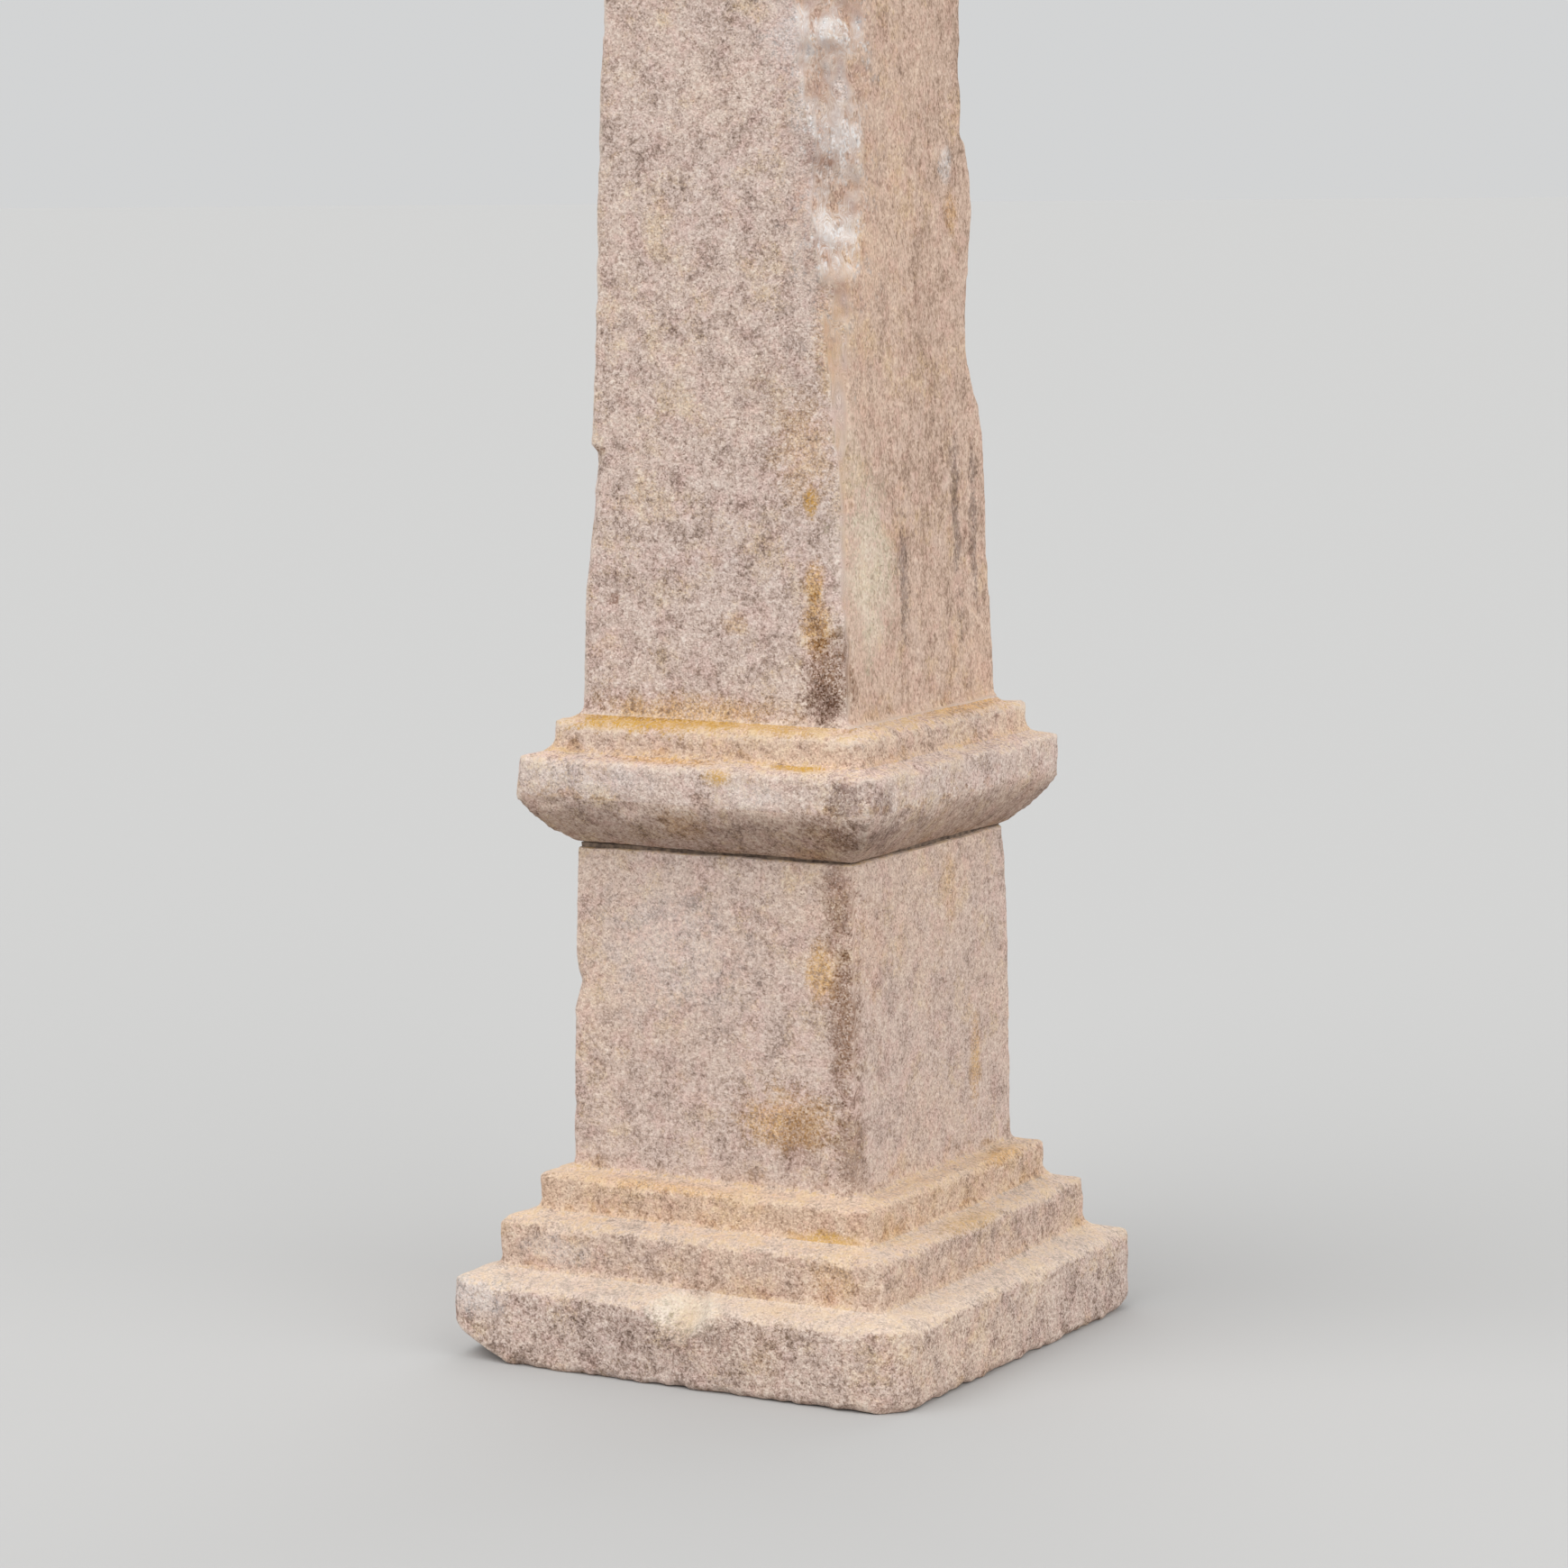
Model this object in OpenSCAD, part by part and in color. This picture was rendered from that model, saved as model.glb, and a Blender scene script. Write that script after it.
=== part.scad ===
// Weathered stone obelisk: a stepped plinth, a die, a moulded cap and a tapering shaft with its point.
// Millimetres. The origin is the centre of the plinth's underside, and +Z is up.

/* [Plinth slab] */
// Width of the plinth slab, which is square in plan
plinth_w = 204; // [180:1:260]
// Height of its upright face
plinth_h = 32; // [16:0.5:80]
// Rise of its sloping top, from the arris in to the middle step
plinth_wash = 4; // [0.5:0.5:12]

/* [Middle step] */
// Width of the middle step
mid_w = 174.5; // [140:0.5:200]
// Height of its upright face
mid_h = 19; // [8:0.5:50]
// Rise of its sloping top, in to the upper step
mid_wash = 3; // [0.5:0.5:10]

/* [Upper step] */
// Width of the upper step
up_w = 151; // [120:0.5:180]
// Height of its upright face
up_h = 14; // [6:0.5:40]
// Rise of its sloping top, in to the die
up_wash = 2; // [0.5:0.5:8]

/* [Die] */
// Width of the die at its foot
die_w = 130.5; // [100:0.5:160]
// Width of the die at its top
die_top_w = 126.5; // [96:0.5:156]
// Height of the die
die_h = 128; // [70:1:240]

/* [Mortar joint] */
// Thickness of the mortar between the die and the cap
mortar_t = 2; // [0.5:0.25:6]
// How far the mortar lies back from the faces of the die
mortar_set_back = 2; // [0:0.25:10]

/* [Cap] */
// Width of the cap slab, the widest member of the cap
cap_w = 160; // [130:1:220]
// Height of the rounded moulding under the cap slab
moulding_h = 20; // [8:0.5:40]
// How far the moulding's curve stands out from a straight slope between its two edges
moulding_bulge = 2; // [0.5:0.25:5]
// Height of the cap slab's upright face
cap_h = 15; // [6:0.5:40]
// Rise of the cap slab's sloping top, in to the fillet
cap_wash = 2; // [0.5:0.5:8]
// Width of the fillet that the shaft stands on
fillet_w = 140.5; // [110:0.5:190]
// Height of the fillet's upright face
fillet_h = 12; // [5:0.5:40]
// Rise of the fillet's sloping top, in to the shaft
fillet_wash = 2; // [0.5:0.5:8]

/* [Shaft] */
// Width of the shaft at its foot
shaft_w = 121.5; // [80:0.5:160]
// Width of the shaft at its top, where the point begins
shaft_top_w = 79.5; // [50:0.5:120]
// Height of the shaft
shaft_h = 640; // [300:5:1000]

/* [Point] */
// Height of the pyramid on top of the shaft
point_h = 85; // [40:1:160]
// Width of the worn flat at its very tip
tip_w = 4; // [1:0.5:12]

/* [Losses] */
// Distance of the chip in the plinth from the middle of its front edge
chip_x = 6; // [-60:1:60]
// Width of the chip at the arris
chip_w = 15; // [4:0.5:40]
// How far the chip runs down the face
chip_drop = 10; // [2:0.5:15]
// How far the chip runs back into the slab
chip_in = 6; // [2:0.5:12]
// Height of the notch in the die's left arris, above the die's foot
notch_z = 74; // [20:1:90]
// Height of the notch from its lower to its upper lip
notch_h = 24; // [6:1:50]
// Depth of the notch, in from the arris
notch_in = 6; // [1:0.5:15]
// Height of the break in the shaft's left arris, above the shaft's foot
left_break_z = 90; // [40:1:500]
// Length of that break
left_break_l = 62; // [10:1:80]
// Depth of that break, in from the arris
left_break_in = 5.5; // [1:0.5:15]
// Height of the break in the shaft's right arris, above the shaft's foot
right_break_z = 152; // [60:1:500]
// Length of that break
right_break_l = 78; // [10:1:110]
// Depth of that break, in from the arris
right_break_in = 8; // [1:0.5:20]
// Height of the lower end of the flat broken from the shaft's near arris, above the shaft's foot
flat_z = 160; // [60:1:300]
// Length of that flat
flat_l = 150; // [40:1:300]
// Depth of that flat, in from the arris
flat_in = 9; // [2:0.5:25]

/* [Hidden] */

// Heights at which the members begin, each on top of the one below
mid_z = plinth_h + plinth_wash;
up_z = mid_z + mid_h + mid_wash;
die_z = up_z + up_h + up_wash;
mortar_z = die_z + die_h;
moulding_z = mortar_z + mortar_t;
cap_z = moulding_z + moulding_h;
fillet_z = cap_z + cap_h + cap_wash;
shaft_z = fillet_z + fillet_h + fillet_wash;
point_z = shaft_z + shaft_h;

// Extra that a cutting shape reaches past the face it cuts
over = 5;
// Compass turns of the three arrises that have losses
left_arris = 225;
right_arris = 45;
near_arris = 315;

stone = [0.73, 0.65, 0.57];
warm_stone = [0.76, 0.66, 0.56];
grey_stone = [0.68, 0.62, 0.56];
dark_mortar = [0.36, 0.30, 0.26];

// Width of the shaft at a height above its foot
function shaftWidth(z) = shaft_w + (shaft_top_w - shaft_w) * z / shaft_h;

// Width of the die at a height above its foot
function dieWidth(z) = die_w + (die_top_w - die_w) * z / die_h;

// Points on the arris of the shaft and of the die, or set in from it: [distance from the axis, height]
function shaftArris(z, set_in = 0) = [shaftWidth(z) * sqrt(2) / 2 - set_in, z];
function dieArris(z, set_in = 0) = [dieWidth(z) * sqrt(2) / 2 - set_in, z];

// A point past the end of a line, so that a cut runs clean out through the surface
function past(start, end) = end + (end - start) * over / norm(end - start);

// A block that is square in plan: its upright outline is run along X and along Y,
// and what both runs share has mitred corners
module squareBlock(w) {
    intersection() {
        rotate([90, 0, 0]) linear_extrude(w, center = true) children();
        rotate([90, 0, 90]) linear_extrude(w, center = true) children();
    }
}

// Outline with upright or battered sides
module taperedOutline(foot_w, top_w, h) {
    polygon([[-foot_w / 2, 0], [foot_w / 2, 0], [top_w / 2, h], [-top_w / 2, h]]);
}

// Outline with upright sides and a top that slopes in to the next member
module washedOutline(w, h, wash, next_w) {
    polygon([
        [-w / 2, 0], [w / 2, 0], [w / 2, h],
        [next_w / 2, h + wash], [-next_w / 2, h + wash], [-w / 2, h]
    ]);
}

// A member of the pedestal or the cap, with its top sloping in to the next one
module washedBlock(w, h, wash, next_w) {
    squareBlock(max(w, next_w)) washedOutline(w, h, wash, next_w);
}

// Outline of the rounded moulding: a core as wide as the die's top, with an arc on each side
// that runs from the core's foot out to the underside of the cap slab
module mouldingOutline(foot_w, top_w, h, bulge) {
    run = (top_w - foot_w) / 2;
    chord = norm([run, h]);
    radius = (chord * chord / 4 + bulge * bulge) / (2 * bulge);
    set_in = (radius - bulge) / chord;
    translate([-foot_w / 2, 0]) square([foot_w, h]);
    for (side = [0, 1]) {
        mirror([side, 0]) intersection() {
            translate([foot_w / 2, 0]) square([run, h]);
            translate([(foot_w + run) / 2 - h * set_in, h / 2 + run * set_in])
                circle(r = radius, $fn = 180);
        }
    }
}

// Cuts into the arris at this turn. The first and the last point are the lips of the cut, on the
// arris, and the points between them are in the stone
module arrisCut(turn, points) {
    last = len(points) - 1;
    outline = concat([past(points[1], points[0])], [for (i = [1 : last - 1]) points[i]],
        [past(points[last - 1], points[last])]);
    rotate([0, 0, turn]) rotate([90, 0, 0])
        linear_extrude(2 * points[0][0], center = true) polygon(outline);
}

module plinth_slab() {
    chip_z = plinth_h - chip_drop;
    chip_rise = chip_drop + plinth_wash + over;
    chip_reach = chip_w / 2 * chip_rise / chip_drop;
    color(grey_stone) difference() {
        washedBlock(plinth_w, plinth_h, plinth_wash, mid_w);
        // the chip, a V in the front arris
        translate([chip_x, chip_in - plinth_w / 2, 0])
            rotate([90, 0, 0])
                linear_extrude(chip_in + over)
                    polygon([[0, chip_z], [chip_reach, chip_z + chip_rise],
                        [-chip_reach, chip_z + chip_rise]]);
    }
}

module middle_step() {
    color(stone) translate([0, 0, mid_z]) washedBlock(mid_w, mid_h, mid_wash, up_w);
}

module upper_step() {
    color(warm_stone) translate([0, 0, up_z]) washedBlock(up_w, up_h, up_wash, die_w);
}

module die_block() {
    color(stone) translate([0, 0, die_z]) difference() {
        squareBlock(max(die_w, die_top_w)) taperedOutline(die_w, die_top_w, die_h);
        arrisCut(left_arris, [dieArris(notch_z - notch_h / 2), dieArris(notch_z, notch_in),
            dieArris(notch_z + notch_h / 2)]);
    }
}

module mortar_joint() {
    w = die_top_w - 2 * mortar_set_back;
    color(dark_mortar) translate([-w / 2, -w / 2, mortar_z]) cube([w, w, mortar_t]);
}

module cap_moulding() {
    color(grey_stone) translate([0, 0, moulding_z])
        squareBlock(cap_w) mouldingOutline(die_top_w, cap_w, moulding_h, moulding_bulge);
}

module cap_slab() {
    color(stone) translate([0, 0, cap_z]) washedBlock(cap_w, cap_h, cap_wash, fillet_w);
}

module cap_fillet() {
    color(warm_stone) translate([0, 0, fillet_z]) washedBlock(fillet_w, fillet_h, fillet_wash, shaft_w);
}

module shaft() {
    color(stone) translate([0, 0, shaft_z]) difference() {
        squareBlock(max(shaft_w, shaft_top_w)) taperedOutline(shaft_w, shaft_top_w, shaft_h);
        // the left break has a short upper slope and a long lower one
        arrisCut(left_arris, [shaftArris(left_break_z - left_break_l * 0.6),
            shaftArris(left_break_z, left_break_in), shaftArris(left_break_z + left_break_l * 0.4)]);
        arrisCut(right_arris, [shaftArris(right_break_z - right_break_l / 2),
            shaftArris(right_break_z, right_break_in), shaftArris(right_break_z + right_break_l / 2)]);
        arrisCut(near_arris, [shaftArris(flat_z), shaftArris(flat_z + flat_in, flat_in),
            shaftArris(flat_z + flat_l - flat_in, flat_in), shaftArris(flat_z + flat_l)]);
    }
}

module pyramid_point() {
    color(grey_stone) translate([0, 0, point_z])
        squareBlock(shaft_top_w) taperedOutline(shaft_top_w, tip_w, point_h);
}

plinth_slab();
middle_step();
upper_step();
die_block();
mortar_joint();
cap_moulding();
cap_slab();
cap_fillet();
shaft();
pyramid_point();
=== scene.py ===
import math
import random

import bmesh
import bpy
import numpy as np
from mathutils import Matrix, Vector, noise


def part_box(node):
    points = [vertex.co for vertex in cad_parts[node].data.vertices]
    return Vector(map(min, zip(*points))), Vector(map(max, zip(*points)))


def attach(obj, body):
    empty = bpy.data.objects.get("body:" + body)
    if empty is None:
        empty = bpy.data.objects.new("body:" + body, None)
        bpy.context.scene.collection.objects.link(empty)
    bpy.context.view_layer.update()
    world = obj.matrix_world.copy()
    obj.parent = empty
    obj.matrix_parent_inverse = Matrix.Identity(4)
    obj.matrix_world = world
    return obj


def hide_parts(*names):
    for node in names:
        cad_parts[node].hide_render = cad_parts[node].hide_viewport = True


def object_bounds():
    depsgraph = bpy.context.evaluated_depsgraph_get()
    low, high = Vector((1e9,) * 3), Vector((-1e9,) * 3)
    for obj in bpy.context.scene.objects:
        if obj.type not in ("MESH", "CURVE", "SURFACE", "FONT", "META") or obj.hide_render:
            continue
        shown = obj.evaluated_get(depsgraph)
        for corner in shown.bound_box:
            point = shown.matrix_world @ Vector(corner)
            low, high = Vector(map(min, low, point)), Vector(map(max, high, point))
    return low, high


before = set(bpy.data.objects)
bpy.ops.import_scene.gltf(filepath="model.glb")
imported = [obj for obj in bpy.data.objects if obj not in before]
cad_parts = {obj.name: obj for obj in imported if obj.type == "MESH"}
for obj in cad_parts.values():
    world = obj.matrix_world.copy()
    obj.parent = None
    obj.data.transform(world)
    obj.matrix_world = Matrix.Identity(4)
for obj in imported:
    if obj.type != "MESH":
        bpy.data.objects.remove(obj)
cadLow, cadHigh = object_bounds()
mm = 0.001

cameraValues = {
    "turn": 30.25,        # degrees round the obelisk from its front face
    "distance": 1.8313,   # from the axis, along the floor
    "sideways": -0.0033,
    "height": 0.4652,
    "pitch": 7.53,        # degrees down
    "roll": -0.628,
    "lens": 106.3,
    "sensor": 36.0,
    "clip": (0.05, 200),
}


def setCamera(values):
    data = bpy.data.cameras.new("camera")
    data.lens = values["lens"]
    data.sensor_width = values["sensor"]
    data.clip_start, data.clip_end = values["clip"]
    camera = bpy.data.objects.new("camera", data)
    bpy.context.scene.collection.objects.link(camera)
    turn = Matrix.Rotation(math.radians(values["turn"]), 4, "Z")
    lift = Matrix.Translation((values["sideways"], -values["distance"], values["height"]))
    tip = Matrix.Rotation(math.radians(90 - values["pitch"]), 4, "X")
    roll = Matrix.Rotation(math.radians(values["roll"]), 4, "Z")
    camera.matrix_world = turn @ lift @ tip @ roll
    bpy.context.scene.camera = camera


# each lamp: degrees round from the front face, degrees up, strength, softness in degrees
lampValues = {
    "key": {"turn": -25, "up": 52, "strength": 1.55, "soft": 50, "colour": (1.0, 0.99, 0.985)},
    "fill": {"turn": 75, "up": 28, "strength": 1.22, "soft": 60, "colour": (1.0, 0.985, 0.98)},
    "back": {"turn": 200, "up": 35, "strength": 0.95, "soft": 60, "colour": (0.98, 0.99, 1.0)},
}
roomValues = {
    "floorSize": 120,
    "floorColour": (0.475, 0.475, 0.47, 1),
    "floorRoughness": 0.9,
    "skyColour": (0.985, 0.995, 1.0, 1),
    "skyStrength": 0.66,
}


def setLamps(values):
    for name, lamp in values.items():
        data = bpy.data.lights.new(name, "SUN")
        data.angle = math.radians(lamp["soft"])
        data.energy = lamp["strength"]
        data.color = lamp["colour"]
        sun = bpy.data.objects.new(name, data)
        bpy.context.scene.collection.objects.link(sun)
        turn, up = math.radians(lamp["turn"]), math.radians(lamp["up"])
        shine = Vector((-math.sin(turn) * math.cos(up), math.cos(turn) * math.cos(up), -math.sin(up)))
        sun.rotation_euler = shine.to_track_quat("-Z", "Y").to_euler()


def setRoom(values):
    world = bpy.data.worlds.new("studio")
    world.use_nodes = True
    backdrop = world.node_tree.nodes["Background"]
    backdrop.inputs["Color"].default_value = values["skyColour"]
    backdrop.inputs["Strength"].default_value = values["skyStrength"]
    bpy.context.scene.world = world
    bpy.ops.mesh.primitive_plane_add(size=values["floorSize"], location=(0, 0, 0))
    floor = bpy.context.active_object
    floor.name = "floor"
    paint = bpy.data.materials.new("paleFloor")
    paint.use_nodes = True
    shader = paint.node_tree.nodes["Principled BSDF"]
    shader.inputs["Base Color"].default_value = values["floorColour"]
    shader.inputs["Roughness"].default_value = values["floorRoughness"]
    shader.inputs["Specular IOR Level"].default_value = 0.0
    floor.data.materials.append(paint)


sides = {"left": (-1, -1), "near": (1, -1), "right": (1, 1), "far": (-1, 1)}


def footOf(node):
    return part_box(node)[0].z


def headOf(node):
    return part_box(node)[1].z


# half a member's width, at a height above its foot
def halfOf(node, up=0):
    low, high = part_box(node)
    half = (high.x - low.x) / 2
    if node == "shaft":
        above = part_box("pyramid_point")
        half += ((above[1].x - above[0].x) / 2 - half) * up / (high.z - low.z)
    return half


# a spot on a face: millimetres across from the face's middle, and up from the member's foot
def onFace(node, face, across, up):
    half = halfOf(node, up * mm)
    across = across * mm
    spots = {"front": (across, -half), "right": (half, across),
             "back": (across, half), "left": (-half, across)}
    return Vector((*spots[face], footOf(node) + up * mm))


def onArris(node, side, up):
    half = halfOf(node, up * mm)
    return Vector((sides[side][0] * half, sides[side][1] * half, footOf(node) + up * mm))


def pickOnly(*pieces):
    bpy.ops.object.select_all(action="DESELECT")
    for piece in pieces:
        piece.select_set(True)
    bpy.context.view_layer.objects.active = pieces[0]


def openMesh(piece, kind):
    pickOnly(piece)
    bpy.ops.object.mode_set(mode="EDIT")
    bpy.ops.mesh.select_mode(type=kind)
    bpy.ops.mesh.select_all(action="DESELECT")


def closeMesh():
    bpy.ops.object.mode_set(mode="OBJECT")


def openTop(piece):
    openMesh(piece, "FACE")
    work = bmesh.from_edit_mesh(piece.data)
    for face in work.faces:
        face.select_set(face.normal.z > 0.9)
    work.select_flush_mode()
    bmesh.update_edit_mesh(piece.data)


def applyModifier(piece, kind, **settings):
    pickOnly(piece)
    modifier = piece.modifiers.new(kind.lower(), kind)
    for name, value in settings.items():
        setattr(modifier, name, value)
    bpy.ops.object.modifier_apply(modifier=modifier.name)


# a block that is square in plan, drawn in or out at its top
def squareBlock(half, bottom, top, topHalf=None):
    bpy.ops.object.select_all(action="DESELECT")
    bpy.ops.mesh.primitive_cube_add(size=2, location=(0, 0, 0))
    piece = bpy.context.active_object
    openMesh(piece, "VERT")
    bpy.ops.mesh.select_all(action="SELECT")
    bpy.ops.transform.resize(value=(half, half, (top - bottom) / 2))
    bpy.ops.transform.translate(value=(0, 0, (top + bottom) / 2))
    closeMesh()
    if topHalf:
        openTop(piece)
        bpy.ops.transform.resize(value=(topHalf / half, topHalf / half, 1))
        closeMesh()
    return piece


# raise the top face and draw it in, for a ledge that sheds water
def slopeTop(piece, rise, fromHalf, toHalf):
    openTop(piece)
    bpy.ops.mesh.extrude_region_move(TRANSFORM_OT_translate={"value": (0, 0, rise)})
    bpy.ops.transform.resize(value=(toHalf / fromHalf, toHalf / fromHalf, 1))
    closeMesh()


def roundCorners(piece, radii):
    for side, radius in radii.items():
        x, y = sides[side]
        openMesh(piece, "EDGE")
        work = bmesh.from_edit_mesh(piece.data)
        for edge in work.edges:
            middle = (edge.verts[0].co + edge.verts[1].co) / 2
            along = (edge.verts[1].co - edge.verts[0].co).normalized()
            edge.select_set(abs(along.z) > 0.5 and middle.x * x > 0 and middle.y * y > 0)
        bmesh.update_edit_mesh(piece.data)
        bpy.ops.mesh.bevel(offset=radius * mm, segments=4, affect="EDGES")
        closeMesh()


# how far a block reaches down into the one below, so that the two become one stone
sunk = 3 * mm


# a member with upright faces, a sloping ledge and a small fill in the corner at its foot
def memberBlocks(node, above, values):
    half, foot, rise = halfOf(node), footOf(node), values["rise"] * mm
    block = squareBlock(half, foot - sunk, headOf(node) - rise)
    slopeTop(block, rise, half, halfOf(above))
    roundCorners(block, values["corners"])
    return [block, footFill(node, values["fill"])]


def footFill(node, size):
    half, foot, size = halfOf(node), footOf(node), size * mm
    return squareBlock(half + size, foot - sunk / 2, foot + size, half - 0.5 * mm)


def joinBlocks(name, blocks):
    pickOnly(*blocks)
    bpy.ops.object.join()
    blocks[0].name = name
    return blocks[0]


def readPlaces(piece, layer="co"):
    flat = np.empty(len(piece.data.vertices) * 3, dtype=np.float32)
    piece.data.vertices.foreach_get(layer, flat)
    return flat.reshape(-1, 3).astype(np.float64)


def writePlaces(piece, places):
    piece.data.vertices.foreach_set("co", places.astype(np.float32).ravel())
    piece.data.update()


# how deep an arris is worn along its length: an even ragged wear, and chips here and there
def wornLine(seed, length, wear=(0.2, 1.3), chips=4, chipDepth=(1.2, 3.2), chipLength=(6, 24)):
    dice = random.Random(seed)
    spacing = 3.0
    spots = np.arange(0, length + 4, spacing)
    depth = np.array([dice.uniform(*wear) for spot in spots])
    for chip in range(chips):
        middle, deep, wide = dice.uniform(0, length), dice.uniform(*chipDepth), dice.uniform(*chipLength)
        skew = dice.uniform(0.25, 0.75)
        reachBack, reachOn = wide * skew, wide * (1 - skew)
        away = np.where(spots < middle, (middle - spots) / reachBack, (spots - middle) / reachOn)
        depth = np.maximum(depth, deep * np.clip(1.15 - away, 0, 1))
    return spots, depth


# lumps on a worn arris: how many in a metre, and how many times finer and how strong the small ones are
lumpValues = {"large": 75, "finer": 2.6, "strength": 0.45}


# plane an arris back to the depths of one or more worn lines, all in millimetres along it
def wearArris(places, start, end, outward, lines, reach=14, lumpy=0.0, skip=-2.0):
    start, end = np.array(start), np.array(end)
    length = np.linalg.norm(end - start)
    along = (end - start) / length
    outward = np.array(outward) - np.dot(outward, along) * along
    outward /= np.linalg.norm(outward)
    offset = places - start
    run = offset @ along
    out = offset @ outward
    away = np.linalg.norm(offset - np.outer(run, along), axis=1)
    depth = np.zeros(len(places))
    for spots, depths in lines:
        depth = np.maximum(depth, np.interp(run / mm, spots, depths) * mm)
    beside = (away < reach * mm) & (run > skip * mm) & (run < length + 2 * mm)
    near = np.nonzero(beside & (out + depth > -1 * mm))[0]
    for spot in near if lumpy else ():
        lump = Vector(places[spot]) * lumpValues["large"]
        small = noise.noise(lump * lumpValues["finer"]) * lumpValues["strength"]
        depth[spot] += (noise.noise(lump) + small) * lumpy * mm
    push = np.clip(out + depth, 0, None)
    places[near] -= push[near, None] * outward


def uprightArris(node, side):
    return onArris(node, side, 0), onArris(node, side, (headOf(node) - footOf(node)) / mm)


# the four level arrises of a member at a height, each with its outward direction in plan
def levelArrises(node, height):
    half = halfOf(node)
    rings = []
    for x, y in ((0, -1), (1, 0), (0, 1), (-1, 0)):
        out = Vector((x, y, 0))
        side = Vector((-y, x, 0))
        middle = out * half + Vector((0, 0, height))
        rings.append((middle - side * half, middle + side * half, out))
    return rings


def wearLevel(places, node, height, values, edge="top", tilt=1):
    seed, line = values["seeds"][edge], values[edge + "Wear"]
    for step, (start, end, out) in enumerate(levelArrises(node, height)):
        worn = wornLine(seed + step, (end - start).length / mm, **line)
        wearArris(places, start, end, out + Vector((0, 0, tilt)), [worn], reach=9)


def cloudTexture(size, depth):
    texture = bpy.data.textures.new("clouds", "CLOUDS")
    texture.noise_scale = size * mm
    texture.noise_depth = depth
    return texture


def roughen(piece, size, depth, octaves=2, middle=0.5, stretch=None, group=""):
    settings = {"texture": cloudTexture(size, octaves), "strength": depth * mm, "mid_level": middle,
                "texture_coords": "LOCAL", "vertex_group": group}
    if stretch:
        guide = bpy.data.objects.new("guide", None)
        bpy.context.scene.collection.objects.link(guide)
        guide.scale = stretch
        bpy.context.view_layer.update()
        settings["texture_coords"] = "OBJECT"
        settings["texture_coords_object"] = guide
    applyModifier(piece, "DISPLACE", **settings)
    if stretch:
        bpy.data.objects.remove(guide)


def roughenPart(stone, name, chosen, values):
    part = stone.vertex_groups.new(name=name)
    part.add(np.nonzero(chosen)[0].tolist(), 1.0, "REPLACE")
    roughen(stone, group=name, **values)


# how far each point stands out from the smoothed stone: above nought on arrises, below it in corners
def markProud(piece, rounds=14, unit=0.4 * mm):
    before, normals = readPlaces(piece), readPlaces(piece, "normal")
    ghost = piece.copy()
    ghost.data = piece.data.copy()
    bpy.context.scene.collection.objects.link(ghost)
    applyModifier(ghost, "SMOOTH", factor=0.5, iterations=rounds)
    after = readPlaces(ghost)
    bpy.data.meshes.remove(ghost.data)
    proud = ((before - after) * normals).sum(axis=1) / unit
    piece.data.attributes.new("proud", "FLOAT", "POINT").data.foreach_set("value", proud.astype(np.float32))
    carried = piece.data.attributes.new("carried", "FLOAT_VECTOR", "POINT")
    carried.data.foreach_set("vector", normals.astype(np.float32).ravel())


# saw one member out of the weathered stone, between two heights
def sawOut(stone, name, bottom=None, top=None):
    piece = stone.copy()
    piece.data = stone.data.copy()
    piece.name = name
    bpy.context.scene.collection.objects.link(piece)
    for height, above in ((bottom, False), (top, True)):
        if height is None:
            continue
        openMesh(piece, "VERT")
        bpy.ops.mesh.select_all(action="SELECT")
        bpy.ops.mesh.bisect(plane_co=(0, 0, height), plane_no=(0, 0, 1), use_fill=True,
                            clear_inner=not above, clear_outer=above)
        closeMesh()
    keepShading(piece, [height for height in (bottom, top) if height is not None])
    return piece


# shade the piece as part of the whole stone, so that no line shows where it was sawn
def keepShading(piece, cuts):
    mesh = piece.data
    normals = np.empty(len(mesh.vertices) * 3, dtype=np.float32)
    mesh.attributes["carried"].data.foreach_get("vector", normals)
    corners = np.empty(len(mesh.loops), dtype=np.int32)
    mesh.loops.foreach_get("vertex_index", corners)
    shading = normals.reshape(-1, 3)[corners]
    shading /= np.linalg.norm(shading, axis=1)[:, None]
    mesh.attributes.remove(mesh.attributes["carried"])
    for face in mesh.polygons:
        sawn = abs(face.normal.z) > 0.99 and any(abs(face.center.z - cut) < 1e-6 for cut in cuts)
        face.use_smooth = not sawn
        if sawn:
            shading[face.loop_start:face.loop_start + face.loop_total] = face.normal
    mesh.normals_split_custom_set(shading.tolist())


def finishStone(piece, node, values):
    stone = makeStone(piece.name + "Stone", values["stone"], values["patches"])
    finishPiece(piece, node, stone)


def finishPiece(piece, node, material):
    piece.data.materials.clear()
    piece.data.materials.append(material)
    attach(piece, "root")
    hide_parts(node)
    print(piece.name, sum(len(face.vertices) - 2 for face in piece.data.polygons), "triangles")


def makeGroup(name, inputs, outputs):
    group = bpy.data.node_groups.new(name, "ShaderNodeTree")
    for label, kind, value in inputs:
        socket = group.interface.new_socket(label, in_out="INPUT", socket_type=kind)
        if value is not None:
            socket.default_value = value
    for label, kind in outputs:
        group.interface.new_socket(label, in_out="OUTPUT", socket_type=kind)
    return group, group.nodes.new("NodeGroupInput").outputs, group.nodes.new("NodeGroupOutput").inputs


def addNode(tree, kind, links=None, **settings):
    node = tree.nodes.new(kind)
    for name, value in settings.items():
        setattr(node, name, value)
    for key, value in (links or {}).items():
        fillSocket(tree, node.inputs[key], value)
    return node


def fillSocket(tree, socket, value):
    if isinstance(value, bpy.types.NodeSocket):
        tree.links.new(value, socket)
    else:
        socket.default_value = value


def maths(tree, operation, *values):
    return addNode(tree, "ShaderNodeMath", dict(enumerate(values)), operation=operation).outputs[0]


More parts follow.
